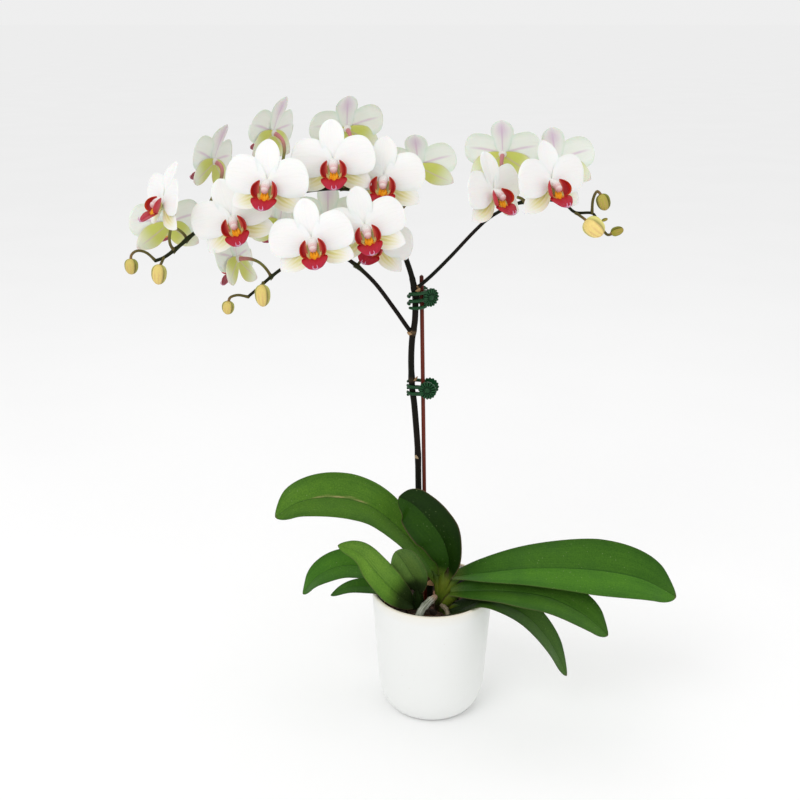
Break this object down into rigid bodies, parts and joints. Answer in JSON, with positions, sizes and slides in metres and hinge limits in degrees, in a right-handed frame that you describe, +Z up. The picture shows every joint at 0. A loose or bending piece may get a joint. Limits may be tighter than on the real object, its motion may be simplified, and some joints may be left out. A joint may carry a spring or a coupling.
{
  "type": "potted orchid",
  "caption": "Potted moth orchid in a white rounded pot, with arching strap leaves and a branching, staked spike of white blooms with crimson lips.",
  "frame": {"origin": "centre of the underside of the pot, on the surface it stands on", "axes": "+Z up, -Y towards the front of the plant, the side the open flowers face, +X to the right seen from the front"},
  "size_m": [0.5102, 0.1548, 0.601],
  "materials": {
    "ceramic": "satin",
    "culture_plastic": "satin",
    "bark": "matte",
    "leaf": "satin",
    "shoot": "satin",
    "root": "matte",
    "spike": "satin",
    "stake": "satin",
    "clip": "satin",
    "steel": "satin",
    "petal": "matte",
    "bud": "satin"
  },
  "bodies": {
    "plant": {"bark": "bark", "bud_centre_1": "bud", "bud_centre_2": "bud", "bud_left_1": "bud", "bud_left_2": "bud", "bud_right_1": "bud", "bud_right_2": "bud", "bud_right_3": "bud", "bud_right_4": "bud", "clip_lower_back_jaw": "clip", "clip_lower_pin": "steel", "clip_lower_spring": "steel", "clip_upper_back_jaw": "clip", "clip_upper_pin": "steel", "clip_upper_spring": "steel", "crown_main": "shoot", "crown_side": "shoot", "culture_pot": "culture_plastic", "flower_a": "petal", "flower_b": "petal", "flower_c": "petal", "flower_d": "petal", "flower_e": "petal", "flower_f": "petal", "flower_g": "petal", "flower_i": "petal", "flower_j": "petal", "flower_k": "petal", "flower_l": "petal", "flower_m": "petal", "flower_n": "petal", "flower_o": "petal", "flower_p": "petal", "flower_q": "petal", "flower_r": "petal", "flower_s": "petal", "flower_t": "petal", "flower_u": "petal", "leaf_back_left": "leaf", "leaf_big_left": "leaf", "leaf_big_right": "leaf", "leaf_centre": "leaf", "leaf_drooping": "leaf", "leaf_low_right": "leaf", "leaf_round": "leaf", "leaf_small": "leaf", "leaf_twisted": "leaf", "pot": "ceramic", "root_front": "root", "root_left": "root", "root_right": "root", "spike_branch_centre": "spike", "spike_branch_left": "spike", "spike_branch_right": "spike", "spike_main": "spike", "stake": "stake"},
    "lower_clip_jaw": {"clip_lower_front_jaw": "clip"},
    "upper_clip_jaw": {"clip_upper_front_jaw": "clip"}
  },
  "joints": [
    {"name": "lower_clip_hinge", "type": "hinge", "parent": "plant", "child": "lower_clip_jaw", "pos_m": [-0.006, 0.001, 0.3353], "axis": [0, 0, 1], "range_deg": [0, 22], "stiffness_Nm_per_rad": 0.02, "springref_deg": -11.46},
    {"name": "upper_clip_hinge", "type": "hinge", "parent": "plant", "child": "upper_clip_jaw", "pos_m": [-0.0085, 0.0034, 0.423], "axis": [0, 0, 1], "range_deg": [0, 22], "stiffness_Nm_per_rad": 0.02, "springref_deg": -11.46}
  ]
}
